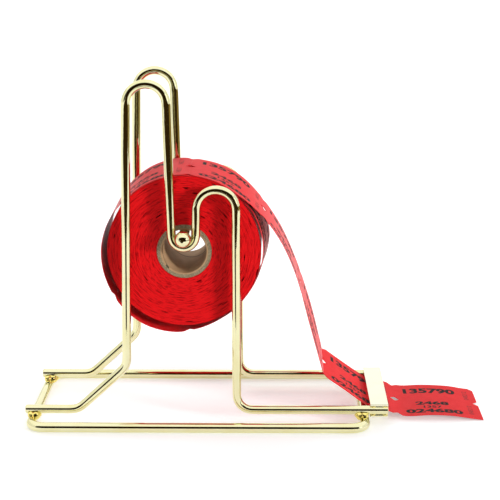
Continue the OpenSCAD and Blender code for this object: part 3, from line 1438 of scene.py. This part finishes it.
@dataclass
class TicketStrip:
    """The paper from the top of the roll through the exit slot to the torn tip.

    The near edge is at -Y and the far edge at +Y. The two run a little apart, because the
    strip twists as it comes off the roll.
    """

    web: TicketWeb
    clear: Pair = (41.0, 117.0)
    near_run: tuple = ((-4.5, 146.4), (10.6, 142.75), (24.6, 134.1), (36.5, 123.6),
                       (47.2, 108.9), (55.9, 89.6), (64.7, 58.0), (73.0, 27.5))
    far_run: tuple = ((-4.5, 146.4), (11.5, 142.9), (23.5, 136.3), (35.4, 124.1),
                      (47.5, 106.2), (56.7, 85.6), (66.0, 57.6), (73.4, 28.1))
    near_lead: tuple = ((73.0, 27.5), (85.4, 18.7), (97.8, 9.6), (103.0, 7.2), (109.6, 6.3),
                        (119.8, 2.9), (136.5, 3.35), (148.4, 2.9), (160.5, 1.2), (166.9, 0.35))
    far_lead: tuple = ((73.4, 28.1), (85.6, 19.0), (98.4, 10.1), (103.4, 7.6), (109.6, 6.4),
                       (120.7, 3.1), (136.0, 3.4), (152.0, 2.6), (161.0, 1.1), (166.9, 0.5))
    near_turn_knot: Pair = (-15.0, 145.8)
    far_turn_knot: Pair = (-15.1, 146.4)

    def span(self) -> Pair:
        """Gives the strip's two ends on the web."""
        web = self.web
        return -web.run_tickets * web.pitch, web.lead_tickets * web.pitch

    def place(self, s: np.ndarray, y: np.ndarray) -> np.ndarray:
        """Turns flat places on the web into places on the strip's middle surface.

        Args:
            s: Lengths from the fold, negative on the run above it.
            y: Places across the web.

        Returns:
            N by 3 places.
        """
        start, end = self.span()
        edges = []
        for run_knots, lead_knots, turn_knot in (
            (self.near_run, self.near_lead, self.near_turn_knot),
            (self.far_run, self.far_lead, self.far_turn_knot),
        ):
            above = measured(smooth_line(run_knots, turn_knot), start, 0.0)(s)
            below = measured(smooth_line(lead_knots), 0.0, end)(s)
            edges.append(np.where((s < 0)[:, None], above, below))
        return self.web.between(*edges, y)

    def build(self) -> None:
        """Lays the strip, which bends between the axle's roll and the stand's slot."""
        made = self.web.lay("ticket_strip", *self.span(), self.place, torn_tip=True)
        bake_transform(made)
        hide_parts("ticket_run", "lead_ticket")
        log.info("%s: %d faces from axle to stand", made.name, len(made.data.polygons))


@dataclass
class TicketRoll:
    """The wound roll on its board core, with the slack outermost turn.

    The first punch is an angle and a height above the core. The slack turn's edges are angles
    in degrees and radii about the roll's axis.
    """

    web: TicketWeb
    edge: Material
    board: Material
    outer_r: float = 43.9
    core_r: float = 15.8
    core_gap: float = 0.05
    bore_r: float = 12.7
    burr: float = 0.3
    rings: int = 100
    corners: int = 480
    layer_mm: float = 0.3
    unevenness: float = 0.22
    waviness: float = 0.05
    most_waves: int = 7
    first_punch: Pair = (0.3, 0.6)
    punch_margin: float = 0.8
    punched_part: float = 0.45
    faintest_punch: float = 0.12
    punch_width: Pair = (2.2, 5.0)
    punch_depth: float = 1.3
    punch_fade: float = 0.8
    punch_seed: int = 7
    layer_seed: int = 21
    near_turn: tuple = (
        (86.4, 44.4), (100, 44.4), (120, 44.35), (133, 44.5), (143, 45.0), (153, 45.8),
        (165, 46.6), (179, 47.4), (195, 47.9), (214, 48.6), (231, 49.3), (246, 49.3),
        (263, 48.4), (273, 47.1), (284, 46.0), (297, 44.9), (312, 44.4), (340, 44.4),
        (365, 45.1), (388, 45.3), (399, 44.6), (410, 44.2), (419, 44.15), (428, 44.06),
    )
    far_turn: tuple = (
        (86.4, 44.4), (100, 45.0), (120, 45.3), (140, 45.6), (160, 46.2), (180, 47.0),
        (215, 48.0), (245, 48.5), (270, 48.4), (300, 48.5), (335, 48.3), (356, 48.5),
        (365, 47.9), (376, 46.9), (392, 45.5), (410, 44.4), (419, 44.2), (428, 44.06),
    )
    run_knots: tuple = ((10.6, 142.75), (11.5, 142.9))

    def punch_marks(self) -> list[tuple[float, float, float]]:
        """Finds where the punched edges of the wound tickets show on the roll's ends.

        Returns:
            Angle, radius and depth of shade of each mark.
        """
        draw = random.Random(self.punch_seed)
        marks, least = [], 1 - self.punched_part
        growth = self.layer_mm / (2 * math.pi)
        angle, height = self.first_punch
        radius = self.core_r + height
        while radius < self.outer_r - self.punch_margin:
            show = draw.random()
            if show > least:
                shade = self.faintest_punch + ((show - least) / self.punched_part) ** 3
                marks.append((angle, radius, min(1.0, shade)))
            step = self.web.pitch / radius
            angle += step
            radius += growth * step
        return marks

    def end_relief(self, side: int, draw: random.Random) -> tuple[np.ndarray, np.ndarray]:
        """Draws the uneven layers and the open punched edges on one end of the roll, with the
        painted shade that darkens those edges.

        Args:
            side: -1 or 1, the end.
            draw: The source of the layers' and the marks' own sizes.

        Returns:
            How deep each point lies, and how much painted shade darkens the open punched edge
            there, ring by corner.
        """
        angles = np.linspace(0, 2 * math.pi, self.corners, endpoint=False)
        depth = np.zeros((self.rings, self.corners))
        for i in range(1, self.rings - 1):
            depth[i] = draw.uniform(0.0, self.unevenness)
            for _ in range(2):
                waves, phase = draw.randint(1, self.most_waves), draw.uniform(0, 2 * math.pi)
                depth[i] += self.waviness * (1 + np.sin(waves * angles + phase))
        painted_gap_shade = np.zeros_like(depth)
        step = 2 * math.pi / self.corners
        thickness = self.outer_r - self.core_r
        for angle, radius, shade in self.punch_marks():
            i = round((radius - self.core_r) / thickness * (self.rings - 1))
            if not 1 <= i < self.rings - 2:
                continue
            width = max(3, int(draw.uniform(*self.punch_width) / radius / step))
            middle = int(angle / step) * side
            for k in range(-width // 2, width // 2 + 1):
                fall = shade * (1 - abs(2 * k / (width + 1)) ** 3)
                j = (middle + k) % self.corners
                for ring, part in ((i, 1.0), (i + 1, self.punch_fade)):
                    depth[ring, j] = max(depth[ring, j], self.punch_depth * part * fall)
                    # painted shade, laid where the edge is punched open
                    painted_gap_shade[ring, j] = max(painted_gap_shade[ring, j], part * fall)
        return depth, painted_gap_shade

    def wound_tickets(self) -> None:
        """Builds the wound tickets, from the relief on both ends and the paper between."""
        draw = random.Random(self.layer_seed)
        radii = np.linspace(self.core_r, self.outer_r, self.rings)
        angles = np.linspace(0, 2 * math.pi, self.corners, endpoint=False)
        x = ROLL_AXIS[0] + np.outer(radii, np.cos(angles))
        z = ROLL_AXIS[1] + np.outer(radii, np.sin(angles))
        points, painted_gap_shades, faces = [], [], []
        for base, side in ((0, -1), (x.size, 1)):
            depth, painted_gap_shade = self.end_relief(side, draw)
            y = side * (self.web.width / 2 - depth)
            points.append(np.stack([x, y, z], axis=-1).reshape(-1, 3))
            painted_gap_shades.append(painted_gap_shade.ravel())
            for i in range(self.rings - 1):
                ends = base + i * self.corners, base + (i + 1) * self.corners
                faces += band(*ends[::-side], self.corners)
        outer = x.size - self.corners
        faces += band(outer, x.size + outer, self.corners)
        faces += band(x.size, 0, self.corners)
        made = mesh_object(
            "wound_ticket_layers", np.vstack(points), faces, [self.edge, self.web.paper]
        )
        # the painted shade of the punched edges, which the edge material reads
        made.data.attributes.new("painted_gap_shade", "FLOAT", "POINT").data.foreach_set(
            "value", np.concatenate(painted_gap_shades).astype(np.float32)
        )
        index = np.zeros(len(faces), np.int32)
        index[-2 * self.corners :] = 1
        made.data.polygons.foreach_set("material_index", index)
        sharpen(made, degrees=50)
        hand_over(made, "roll", "ticket_paper", "wound_tickets")

    def core(self) -> None:
        """Cuts the board core, flush with the tickets but for a knife's burr."""
        half, ease = self.web.width / 2, self.burr
        r0, r1 = self.bore_r, self.core_r - self.core_gap
        corner = [(r0, half - ease), (r0 + ease, half), (r1 - ease, half), (r1, half - ease)]
        profile = [(r, -y) for r, y in corner] + corner[::-1]
        made = lathe("roll_core_tube", profile, ROLL_AXIS, self.board, corners=160)
        hand_over(made, "roll", "core", "roll_core")

    def turn_span(self) -> Pair:
        """Gives the web lengths at which the slack turn starts and ends.

        Returns:
            The lengths at its inner and its outer end.
        """
        seam = -self.web.run_tickets * self.web.pitch
        total = sum(
            math.radians(b[0] - a[0]) * (a[1] + b[1]) / 2
            for a, b in zip(self.near_turn, self.near_turn[1:])
        )
        return seam - total, seam

    def place_turn(self, s: np.ndarray, y: np.ndarray) -> np.ndarray:
        """Turns flat places on the web into places on the slack outermost turn.

        Args:
            s: Lengths on the web, falling from the seam at the top of the roll.
            y: Places across the web.

        Returns:
            N by 3 places.
        """
        edges = []
        for knots, run_knot in zip((self.near_turn, self.far_turn), self.run_knots):
            line = smooth_line([
                (ROLL_AXIS[0] + r * math.cos(math.radians(a)),
                 ROLL_AXIS[1] + r * math.sin(math.radians(a))) for a, r in knots
            ], run_knot)[::-1]
            edges.append(measured(line, *self.turn_span())(s))
        return self.web.between(*edges, y)

    def slack_turn(self) -> None:
        """Lays the slack turn, whose inner end runs onto the wound tickets."""
        made = self.web.lay("slack_outer_turn", *self.turn_span(), self.place_turn)
        hand_over(made, "axle", "ticket_paper", "loose_turn")

    def build(self) -> None:
        """Makes the core, the wound tickets and the slack turn."""
        self.core()
        self.wound_tickets()
        self.slack_turn()


# --------------------------------------------------------------------------- studio


@dataclass(frozen=True)
class Lamp:
    """Parallel light that is soft at the edges of its shadows.

    The azimuth is in degrees to the right of the front and the elevation in degrees above the
    table. White paper that faces the lamp becomes as bright as its light, and its spread is
    the width of its disc in degrees.
    """

    name: str
    azimuth: float
    elevation: float
    light: float
    spread: float

    def hang(self) -> None:
        """Adds the lamp, which mirrors don't see."""
        data = bpy.data.lights.new(self.name, "SUN")
        data.energy = self.light * math.pi
        data.angle = math.radians(self.spread)
        lamp = bpy.data.objects.new(self.name, data)
        a, e = math.radians(self.azimuth), math.radians(self.elevation)
        toward = Vector((math.sin(a) * math.cos(e), -math.cos(a) * math.cos(e), math.sin(e)))
        lamp.rotation_euler = (-toward).to_track_quat("-Z", "Y").to_euler()
        lamp.visible_glossy = False
        bpy.context.scene.collection.objects.link(lamp)


@dataclass(frozen=True)
class Card:
    """A card that only mirror surfaces see, with one as the strength of white."""

    name: str
    colour: str
    corners: tuple[tuple[float, float, float], ...]
    strength: float = 1.0

    def put_up(self) -> None:
        """Makes the card and its cloth."""
        cloth = finished(new_material(f"{self.name}_cloth")[0], {
            "Base Color": linear("#000000"), "Roughness": 1.0, "Specular IOR Level": 0.0,
            "Emission Color": linear(self.colour), "Emission Strength": self.strength,
        })
        face = range(len(self.corners))
        card = mesh_object(self.name, np.array(self.corners), [face], [cloth], smooth=False)
        card.visible_camera = False
        card.visible_diffuse = False
        card.visible_shadow = False
        card.visible_transmission = False


@dataclass(frozen=True)
class Studio:
    """White table, white surround, light from the front right and from above, and the camera.

    The dark cards stand for the unlit room beyond the table's front and right edges, and they
    draw the dark lines in the polished wires. The bright ones stand for the lights' own panels.
    """

    camera_place: tuple[float, float, float] = (42.76, -769.34, 294.99)
    camera_yaw: float = -0.0169
    camera_pitch: float = 0.2525
    camera_roll: float = -0.0027
    focal_px: float = 1350.96
    image_px: float = 500.0
    sensor_mm: float = 36.0
    table_front: Pair = (-485.0, -412.0)
    table_left: float = -900.0
    table_right: float = 700.0
    table_colour: str = "#F4F4F4"
    table_roughness: float = 0.9
    table_glow: float = 0.38
    table_reach: float = 6000.0
    room_reach: float = 4000.0
    room_front: float = -3000.0
    room_back: float = 1500.0
    room_height: float = 3000.0
    sky: float = 0.3
    lamps: tuple[Lamp, ...] = (
        Lamp("key", 57.0, 12.0, 0.76, 12.0), Lamp("top", 0.0, 84.0, 0.16, 55.0),
        Lamp("back", 175.0, 20.0, 0.5, 60.0), Lamp("left", 225.0, 28.0, 0.25, 60.0),
    )

    def cards(self) -> list[Card]:
        """Gives the cards, those of the room just above the table's level.

        Returns:
            The dark cards and the lights' panels.
        """
        (front_left, front_right), right = self.table_front, self.table_right
        left, far, top = self.table_left, self.room_reach, self.room_height
        front, back = self.room_front, self.room_back
        return [
            Card("room_floor", "#33240E", ((left, front_left, 1), (right, front_right, 1),
                                           (far, front_right, 1), (far, front, 1),
                                           (left, front, 1))),
            Card("room_wall", "#231808", ((-far, front, 0), (far, front, 0),
                                          (far, front, top), (-far, front, top))),
            Card("room_right", "#8F7A45", ((right, front_right, 1), (far, front_right, 1),
                                           (far, back, 1), (right, back, 1))),
            Card("low_post", "#33240E", ((-94, -208, 1), (0, -208, 1),
                                         (20, -208, 75), (-114, -208, 75))),
            Card("key_panel", "#FFFFFF", ((2000, -1900, 250), (2500, -1050, 250),
                                          (2500, -1050, 1150), (2000, -1900, 1150)), 1.7),
            Card("top_panel", "#FFFFFF", ((-2500, -1500, 1600), (2500, -1500, 1600),
                                          (2500, 6000, 1600), (-2500, 6000, 1600)), 1.22),
        ]

    def camera(self) -> None:
        """Sets the camera up at its place, with the lens for a square image."""
        yaw, pitch, roll = self.camera_yaw, self.camera_pitch, self.camera_roll
        ahead = Vector((math.sin(yaw) * math.cos(pitch), math.cos(yaw) * math.cos(pitch),
                        -math.sin(pitch)))
        level = Vector((math.cos(yaw), -math.sin(yaw), 0.0))
        upright = level.cross(ahead)
        right = level * math.cos(roll) + upright * math.sin(roll)
        up = upright * math.cos(roll) - level * math.sin(roll)
        data = bpy.data.cameras.new("camera")
        data.sensor_width = self.sensor_mm
        data.lens = self.sensor_mm * self.focal_px / self.image_px
        data.clip_start, data.clip_end = 0.01, 50.0
        camera = bpy.data.objects.new("camera", data)
        turn = Matrix((right, up, -ahead)).transposed().to_4x4()
        camera.matrix_world = Matrix.Translation(Vector(self.camera_place) * MM) @ turn
        bpy.context.scene.collection.objects.link(camera)
        bpy.context.scene.camera = camera

    @staticmethod
    def seen_directly(tree: NodeTree) -> Node:
        """Tells camera, glossy and transmission rays from the rays that carry light.

        Args:
            tree: The node tree to add to.

        Returns:
            A node that gives one for a ray that shows the surround.
        """
        path = add_node(tree, "LightPath").outputs
        first = add_node(
            tree, "Math", {0: path["Is Camera Ray"], 1: path["Is Glossy Ray"]},
            operation="MAXIMUM",
        )
        return add_node(
            tree, "Math", {0: first, 1: path["Is Transmission Ray"]}, operation="MAXIMUM"
        )

    def world(self) -> None:
        """Lights the object from all round, and shows white to eyes and mirrors."""
        world = bpy.data.worlds.new("white_surround")
        bpy.context.scene.world = world
        world.use_nodes = True
        tree = world.node_tree
        tree.nodes.clear()
        strength = add_node(
            tree, "MapRange",
            {"Value": self.seen_directly(tree), "To Min": self.sky, "To Max": 1.0},
        )
        back = add_node(
            tree, "Background", {"Color": linear("#FFFFFF"), "Strength": strength}
        )
        add_node(tree, "OutputWorld", {"Surface": back})

    def table(self) -> None:
        """Lays the white table, which keeps the object's soft shadow."""
        material, tree = new_material("white_table")
        glow = add_node(
            tree, "MapRange",
            {"Value": self.seen_directly(tree), "To Min": 0.0, "To Max": self.table_glow},
        )
        finished(material, {
            "Base Color": linear(self.table_colour), "Roughness": self.table_roughness,
            "Specular IOR Level": 0.0, "Emission Color": linear("#FFFFFF"),
            "Emission Strength": glow,
        })
        r = self.table_reach
        corners = np.array([(-r, -r, 0), (r, -r, 0), (r, r, 0), (-r, r, 0)])
        mesh_object("table", corners, [range(4)], [material], smooth=False)

    def build(self) -> None:
        """Sets up the camera, the surround, the table, the cards and the lamps."""
        bpy.context.scene.view_settings.view_transform = "Standard"
        self.camera()
        self.world()
        self.table()
        for card in self.cards():
            card.put_up()
        for lamp in self.lamps:
            lamp.hang()


def main() -> None:
    """Builds the studio, the stand, the slot, the axle, the roll and the strip."""
    logging.basicConfig(level=logging.INFO, format="%(name)s %(message)s")
    Studio().build()
    brass = BrightBrassPlate().material()
    weld = BrightBrassPlate(
        name="brass_plated_weld", colour="#F2E38C", deep_colour="#E9CB58", roughness=0.12,
        haze=0.12, cloud_mm=5.0, draw_mark_mm=1.6, draw_mark_depth_mm=0.04,
    ).material()
    # The plates' brass is the wires' own plating in a paler colour: a painted highlight for the
    # brighter reflection of their flat faces.
    sheet = BrightBrassPlate(
        name="brass_plated_sheet_painted_highlight", colour="#EFEDD2", deep_colour="#EAE5C0", roughness=0.08,
        cloud_mm=24.0, draw_mark_mm=9.0, draw_mark_depth_mm=0.01,
    ).material()
    web = TicketWeb(
        paper=TicketPaper().material(),
        ink=PrintingInk().material(),
        number_ink=PrintingInk(
            name="numbering_ink", colour="#7E1518", light_colour="#96201F", roughness=0.6
        ).material(),
    )
    WireStand(plate=brass, weld=weld).build()
    ExitSlot(sheet=sheet, weld=weld).build()
    Axle(plate=brass).build()
    TicketRoll(web=web, edge=SlitPaperEdge().material(), board=GreyBoard().material()).build()
    TicketStrip(web=web).build()


if __name__ == "__main__":
    main()
